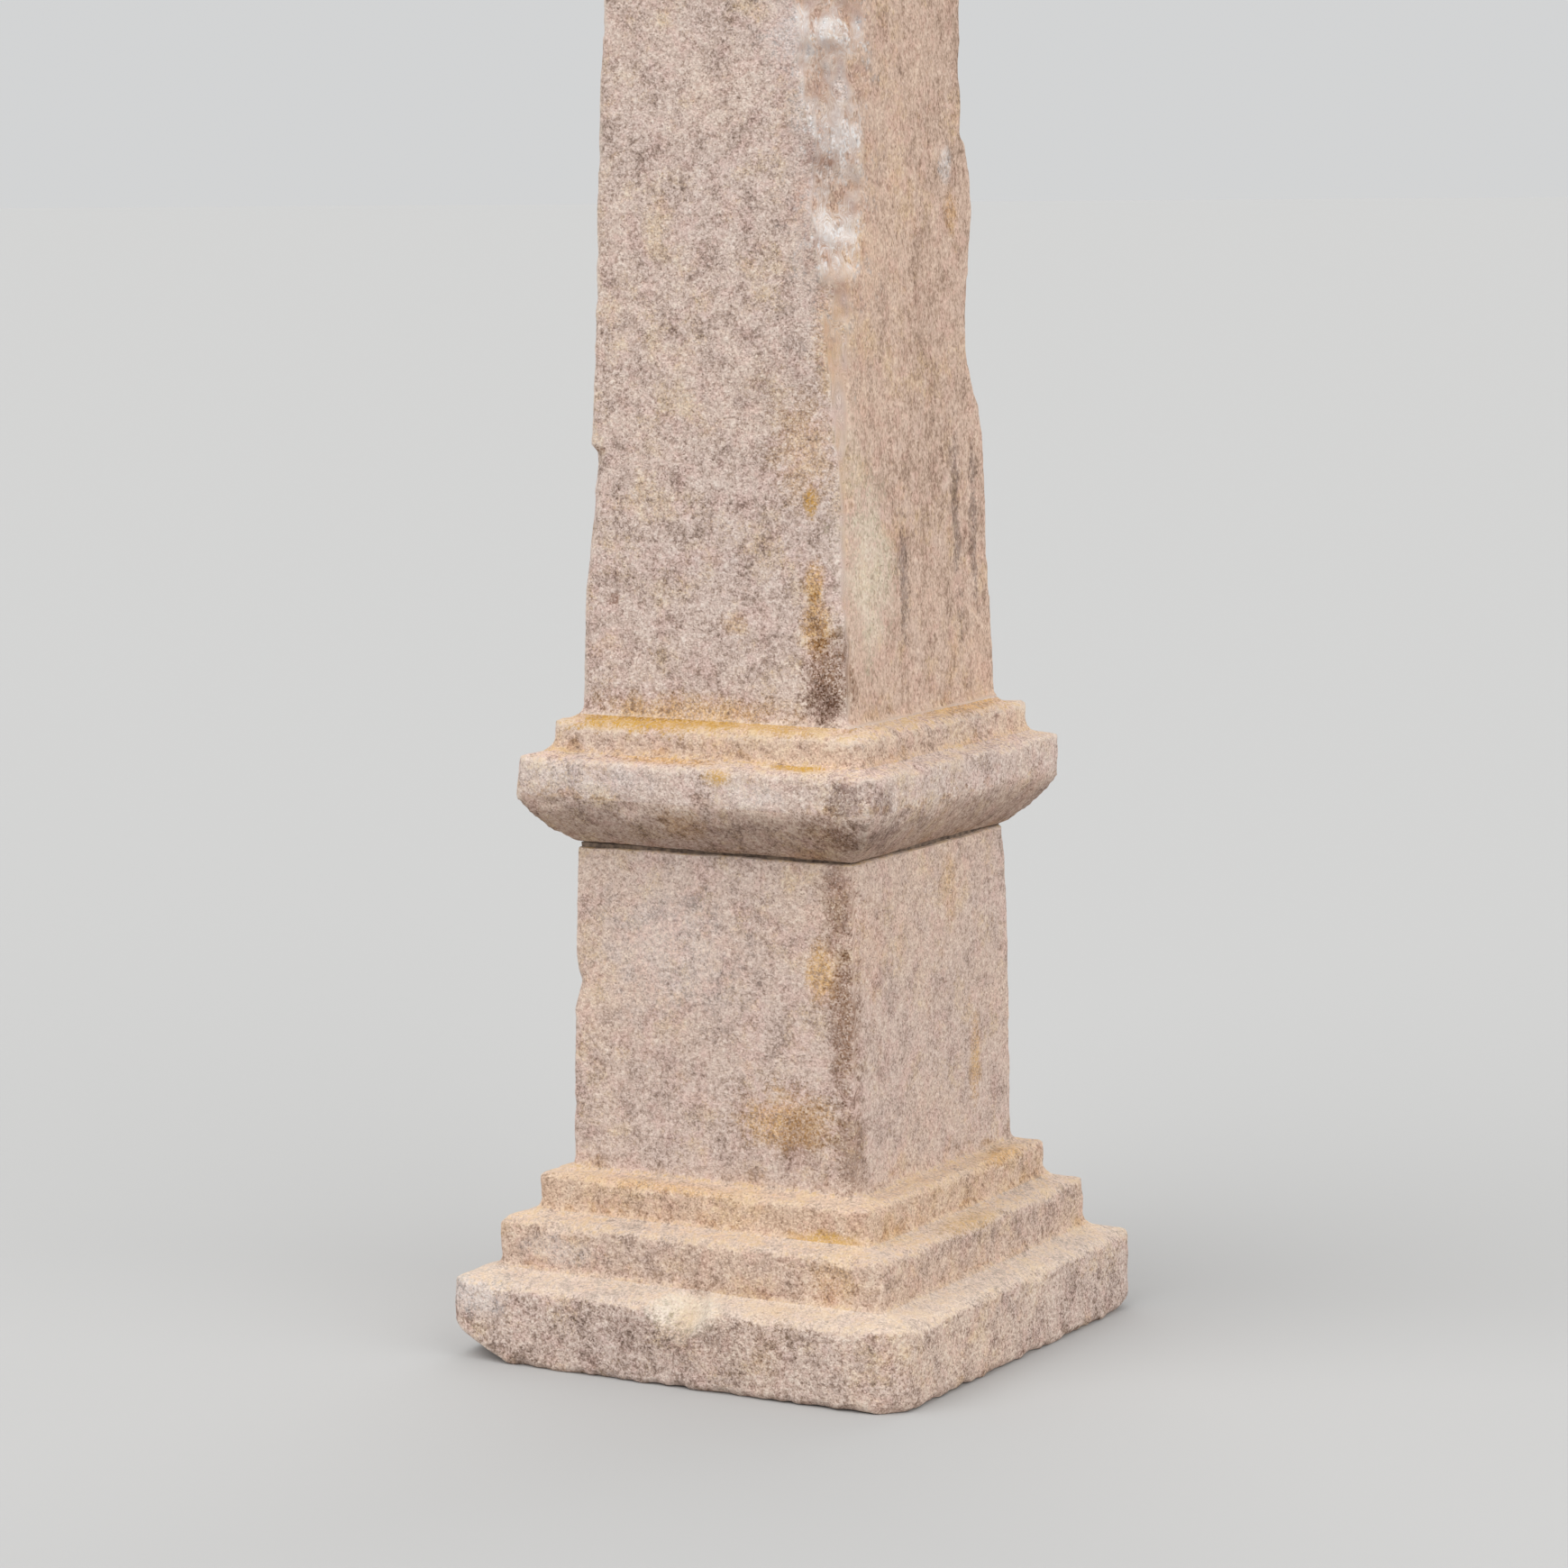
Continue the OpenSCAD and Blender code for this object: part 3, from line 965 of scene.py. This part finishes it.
filletValues = {
    "rise": 2,
    "corners": {"left": 8, "near": 3, "right": 1.5, "far": 3},
    "fill": 2.0,
    "topWear": {"wear": (1.2, 2.1), "chips": 6, "chipDepth": (1.2, 2.6)},
    "arrisWear": {"wear": (0.5, 2.0)},
    "seeds": {"top": 230, "arris": 290},
    "stone": {"Lightness": 0.07, "Warmth": 0.35, "Bleach And Top Light": 0.1, "Lichen": 0.5, "Dirt And Shade": 0.8,
              "Foot": footOf("cap_fillet"), "Foot Reach": 2 * mm},
    "patches": [
        (onFace("cap_fillet", "front", -26, 14) + Vector((0, 7 * mm, 0)),
         (48, 14, 6.5), "lichen", 1.2, 1.3),
        (onFace("cap_fillet", "front", 26, 14) + Vector((0, 8 * mm, 0)), (38, 12, 5), "lichen", 0.8, 1.3),
        (onFace("cap_fillet", "front", -30, 16) + Vector((0, 9 * mm, 0)), (44, 6, 4), "brown", 0.6, 1.2),
        (onFace("cap_fillet", "right", 30, 14) + Vector((-8 * mm, 0, 0)), (8, 40, 5), "straw", 0.9, 0.9),
    ],
}

shaftValues = {
    "corners": {"left": 1.5, "near": 3, "right": 2, "far": 2.5},
    "fill": 1.6,
    "arrisWear": {"wear": (0.2, 1.0), "chips": 0},
    "seeds": {"arris": 250, "chips": 260},
    "losses": {
        "left": [(0, 2), (8, 0.5), (52, 0.5), (74, 3.5), (97, 5), (103, 4.5), (105, 0.5), (170, 1),
                 (290, 0.6)],
        "right": [(0, 0.5), (98, 0.5), (117, 2.5), (126, 5.5), (140, 8), (153, 7.5), (172, 4.5), (192, 1),
                  (221, 1.5), (224, 5), (245, 3.5), (290, 0.6)],
        "near": [(0, 1), (20, 2), (105, 2.5), (120, 4), (168, 6), (260, 5), (340, 1.5)],
    },
    # chips above the losses, which start at this height, and those of the far arris
    "highChips": {"wear": (0, 0), "chips": 7, "chipDepth": (1.5, 4), "chipLength": (15, 55)},
    "chipsFrom": 300,
    "farChips": {"wear": (0, 0), "chips": 11, "chipDepth": (1.5, 4.5), "chipLength": (15, 60)},
    # the long scar on the near arris, the way it faces, and how squarely its lumpy part has to face so
    "scar": [(146, 0), (164, 3.5), (184, 9), (204, 11.5), (213, 10), (224, 9), (234, 10), (248, 13.5),
             (262, 13), (278, 14), (300, 11), (318, 6), (330, 0)],
    "scarTurn": (0.82, -0.573),
    "scarSquare": 0.88,
    "scarLumps": {"size": 7, "depth": 2.2, "octaves": 2, "middle": 0.62},
    "stone": {"Warmth": 0.12, "Strokes And Side Shade": 1.0, "Dirt And Shade": 0.5, "Lichen": 0.1, "Foot": footOf("shaft"),
              "Foot Reach": 5 * mm},
    "patches": [
        (onFace("shaft", "front", 51, 20), (13, 14, 26), "brown", 0.95, 0.9),
        (onFace("shaft", "front", 50, 8), (10, 14, 12), "grime", 0.8, 0.9),
        (onFace("shaft", "front", 46, 37), (9, 12, 15), "straw", 1.2, 0.8),
        (onFace("shaft", "front", 45, 56), (6, 12, 10), "straw", 1.3, 0.8),
        (onFace("shaft", "front", 43, 85), (4, 12, 8), "lichen", 0.8, 0.6),
        (onFace("shaft", "front", 10, 38), (8, 12, 6), "straw", 0.6, 0.9),
        (onFace("shaft", "front", -10, 4), (50, 14, 8), "straw", 0.9, 1.0),
        (onFace("shaft", "front", -45, 45), (4, 8, 4), "brown", 0.7, 0.6),
        (onFace("shaft", "front", -53, 103), (5, 8, 2.5), "brown", 0.9, 0.3),
        (onFace("shaft", "front", 30, 125), (26, 14, 30), "grime", 0.2, 1.2),
        (onFace("shaft", "front", 40, 105), (18, 14, 24), "straw", 0.6, 1.1),
        (onFace("shaft", "front", 50, 150), (8, 14, 26), "straw", 0.6, 1.0),
        (onFace("shaft", "front", 44, 178), (7, 14, 14), "brown", 0.3, 1.0),
        (onFace("shaft", "right", -40, 59), (14, 20, 40), "cream", 1.2, 1.0),
        (onFace("shaft", "right", -50, 100), (14, 8, 30), "cream", 0.4, 0.9),
        (onFace("shaft", "right", -14, 54), (10, 5, 30), "grey", 1.15, 1.0),
        (onFace("shaft", "right", 32, 76), (10, 5, 48), "grey", 1.15, 1.0),
        (onFace("shaft", "right", 46, 70), (10, 4, 40), "grey", 1.15, 1.0),
        (onFace("shaft", "right", 33, 213), (8, 6, 9), "pale", 0.7, 0.8),
        (onFace("shaft", "right", 36, 194), (8, 7, 10), "straw", 0.7, 0.9),
        (onFace("shaft", "right", 10, 150), (10, 20, 60), "brown", 0.15, 1.0),
        (onArris("shaft", "near", 245), (18, 24, 88), "pale", 0.6, 1.8),
        (onFace("shaft", "front", 34, 262), (15, 9, 18), "pale", 0.55, 1.4),
        (onArris("shaft", "near", 268), (18, 26, 16), "pale", 1.15, 1.3),
        (onArris("shaft", "near", 250), (14, 18, 6), "cream", 0.8, 1.2),
        (onArris("shaft", "near", 223), (16, 20, 11), "pale", 0.8, 1.4),
        (onFace("shaft", "right", -50, 188), (15, 15, 15), "pale", 1.1, 1.3),
        (onFace("shaft", "front", 45, 192), (9, 10, 18), "pale", 0.35, 1.3),
        (onArris("shaft", "near", 240), (17, 22, 80), "grime", 0.6, -1.8),
        (onFace("shaft", "front", 47, 257), (13, 16, 4), "grime", 0.8, 1.2),
        (onFace("shaft", "front", 44, 244), (5, 8, 5), "straw", 1.2, 0.8),
        (onArris("shaft", "near", 235), (13, 16, 6), "brown", 0.45, -1.2),
        (onArris("shaft", "near", 212), (15, 15, 6), "brown", 0.4, -1.2),
        (onArris("shaft", "near", 167), (13, 18, 6), "brown", 0.5, 1.0),
        (onFace("shaft", "front", 39, 202), (6, 8, 11), "pink", 0.9, 0.8),
    ],
}

pointValues = {
    "tipHalf": 3,             # half the width of the worn flat on top
    "tipWear": {"wear": (0.3, 1.2), "chips": 3},
    "tipLength": 100,         # of the arrises that run up to the tip
    "tipTilt": 0.9,           # how far their wear faces up
    "seeds": {"tip": 270},
    "stone": {"Warmth": 0.15, "Lichen": 0.2, "Dirt And Shade": 0.3, "Foot Reach": 1 * mm},
    "patches": [
        (onFace("pyramid_point", "front", 0, 0), (50, 50, 30), "grime", 0.2, 1.1),
    ],
}

upperStoneValues = {
    "voxel": 1.68,
    "soften": 2,
    "roughening": [(70, 1.6, 1, 0.6), (14, 0.7, 2, 0.52), (4.5, 0.5, 1, 0.5)],
    "strokes": {"size": 9, "depth": 1.3, "octaves": 1, "middle": 0.6, "stretch": (1, 1, 6)},
}


# the moulding is drawn out ring by ring along an arc
def makeMoulding(values):
    node = "cap_moulding"
    foot, top = dieTopHalf, halfOf(node)
    low, rise = footOf(node), headOf(node) - footOf(node)
    run, bulge = top - foot, values["bulge"] * mm
    chord = math.hypot(run, rise)
    radius = (chord * chord / 4 + bulge * bulge) / (2 * bulge)
    setIn = (radius - bulge) / chord
    middle = (run / 2 - rise * setIn, rise / 2 + run * setIn)
    start, end = math.atan2(-middle[1], -middle[0]), math.atan2(rise - middle[1], run - middle[0])
    piece = squareBlock(foot, low - values["jointGap"] * mm, low)
    half, height = foot, low
    for step in range(1, values["steps"] + 1):
        turn = start + (end - start) * step / values["steps"]
        nextHalf = foot + middle[0] + radius * math.cos(turn)
        nextHeight = low + middle[1] + radius * math.sin(turn)
        slopeTop(piece, nextHeight - height, half, nextHalf)
        half, height = nextHalf, nextHeight
    return piece


def wearShaft(places, values, tipValues):
    length = (headOf("shaft") - footOf("shaft")) / mm
    tipHalf = tipValues["tipHalf"] * mm
    wearUprights(places, "shaft", values, reach=22, lumpy=0.9, skip=2.5)
    for number, (side, (x, y)) in enumerate(sides.items()):
        wear = values["farChips" if side == "far" else "highChips"]
        spots, depths = wornLine(values["seeds"]["chips"] + number, length, **wear)
        if side != "far":
            depths[spots < values["chipsFrom"]] = 0
        out = Vector((x, y, 0))
        wearArris(places, *uprightArris("shaft", side), out, [(spots, depths)], reach=22, lumpy=0.9)
        tip = Vector((x * tipHalf, y * tipHalf, headOf("pyramid_point")))
        slope = wornLine(tipValues["seeds"]["tip"] + number, tipValues["tipLength"], **tipValues["tipWear"])
        out.z = tipValues["tipTilt"]
        wearArris(places, onArris("shaft", side, length), tip, out, [slope], lumpy=0.6)
    scar = [splitLine(values["scar"])]
    wearArris(places, *uprightArris("shaft", "near"), (*values["scarTurn"], 0), scar, reach=44, lumpy=2.4)


# cap, shaft and point are carved from another block
def makeUpperStone(values):
    slabTop = headOf("cap_slab") - capSlabValues["rise"] * mm
    slab = squareBlock(halfOf("cap_slab"), footOf("cap_slab"), slabTop)
    slopeTop(slab, capSlabValues["rise"] * mm, halfOf("cap_slab"), halfOf("cap_fillet"))
    roundCorners(slab, capSlabValues["corners"])
    pointHalf = halfOf("pyramid_point")
    shaft = squareBlock(halfOf("shaft"), footOf("shaft") - 2 * mm, headOf("shaft"), pointHalf)
    slopeTop(shaft, headOf("pyramid_point") - headOf("shaft"), pointHalf, pointValues["tipHalf"] * mm)
    roundCorners(shaft, shaftValues["corners"])
    blocks = [makeMoulding(mouldingValues), slab, shaft, footFill("shaft", shaftValues["fill"])]
    blocks += memberBlocks("cap_fillet", "shaft", filletValues)
    stone = joinBlocks("upperStone", blocks)
    applyModifier(stone, "REMESH", mode="VOXEL", voxel_size=values["voxel"] * mm, use_smooth_shade=True)

    places = readPlaces(stone)
    filletTop = headOf("cap_fillet") - filletValues["rise"] * mm
    wearLevel(places, "cap_slab", slabTop, capSlabValues)
    wearLevel(places, "cap_slab", footOf("cap_slab"), capSlabValues, "foot", tilt=-0.4)
    wearLevel(places, "cap_fillet", filletTop, filletValues)
    wearUprights(places, "cap_slab", capSlabValues, reach=10)
    wearUprights(places, "cap_fillet", filletValues, reach=10, skip=3)
    wearShaft(places, shaftValues, pointValues)
    weather(stone, places, values)
    height = (readPlaces(stone)[:, 2] - footOf("shaft")) / mm
    facing = readPlaces(stone, "normal") @ np.array((*shaftValues["scarTurn"], 0))
    scarFoot, scarHead = shaftValues["scar"][0][0], shaftValues["scar"][-1][0]
    scarred = (facing > shaftValues["scarSquare"]) & (height > scarFoot) & (height < scarHead)
    roughenPart(stone, "scar", scarred, shaftValues["scarLumps"])
    toRight = readPlaces(stone, "normal")[:, 0] > 0.7
    onShaft = readPlaces(stone)[:, 2] > footOf("shaft")
    roughenPart(stone, "rightFace", toRight & onShaft, values["strokes"])
    keepInside(stone)
    markProud(stone)
    return stone


print("upper stone")
upperStone = makeUpperStone(upperStoneValues)
piece = sawOut(upperStone, "capMoulding", top=headOf("cap_moulding"))
finishStone(piece, "cap_moulding", mouldingValues)
piece = sawOut(upperStone, "capSlab", headOf("cap_moulding"), headOf("cap_slab"))
finishStone(piece, "cap_slab", capSlabValues)
piece = sawOut(upperStone, "capFillet", headOf("cap_slab"), headOf("cap_fillet"))
finishStone(piece, "cap_fillet", filletValues)
piece = sawOut(upperStone, "obeliskShaft", headOf("cap_fillet"), headOf("shaft"))
finishStone(piece, "shaft", shaftValues)
piece = sawOut(upperStone, "pyramidPoint", headOf("shaft"))
finishStone(piece, "pyramid_point", pointValues)
bpy.data.objects.remove(upperStone)
